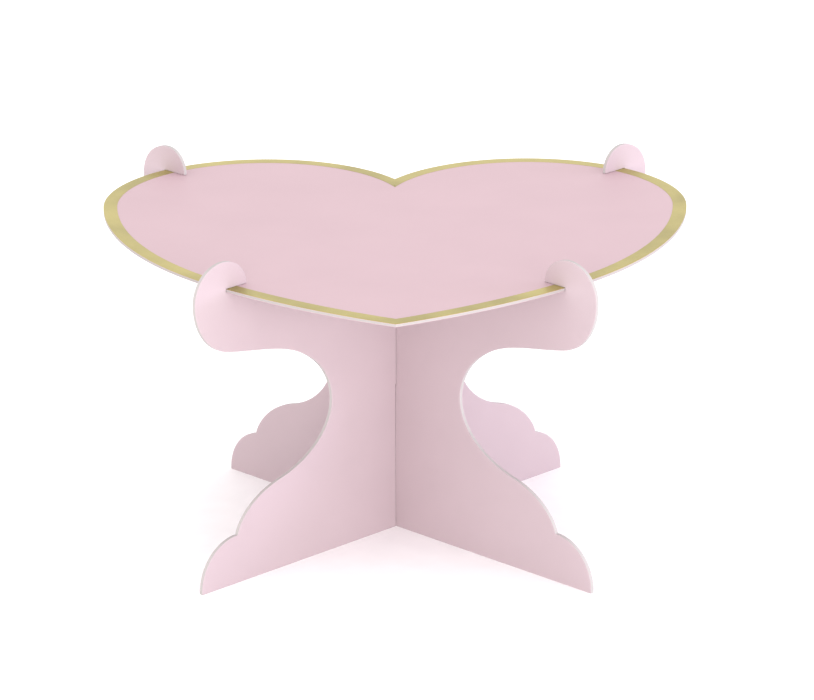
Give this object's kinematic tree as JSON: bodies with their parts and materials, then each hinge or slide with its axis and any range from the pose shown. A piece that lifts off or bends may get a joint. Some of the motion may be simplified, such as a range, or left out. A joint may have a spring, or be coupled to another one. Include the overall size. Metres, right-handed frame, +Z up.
{
  "type": "cake stand",
  "caption": "Heart-shaped party cake stand of laminated card: a pink heart top with a gold foil border, hooked onto crossed, slotted leg panels.",
  "frame": {"origin": "on the table, where the two leg panels cross", "axes": "+Z up, +Y towards the notch of the heart, +X to the right seen from the heart's tip"},
  "size_m": [0.2832, 0.2624, 0.1598],
  "materials": {
    "card_core": "raw",
    "top_paper": "satin",
    "base_paper": "satin",
    "leg_paper": "satin",
    "gold_foil": "satin"
  },
  "bodies": {
    "root": {"top_core": "card_core", "top_face_paper": "top_paper", "top_base_paper": "base_paper", "gold_border": "gold_foil", "leg_a_core": "card_core", "leg_a_front_paper": "leg_paper", "leg_a_back_paper": "leg_paper", "leg_b_core": "card_core", "leg_b_front_paper": "leg_paper", "leg_b_back_paper": "leg_paper"}
  },
  "joints": []
}
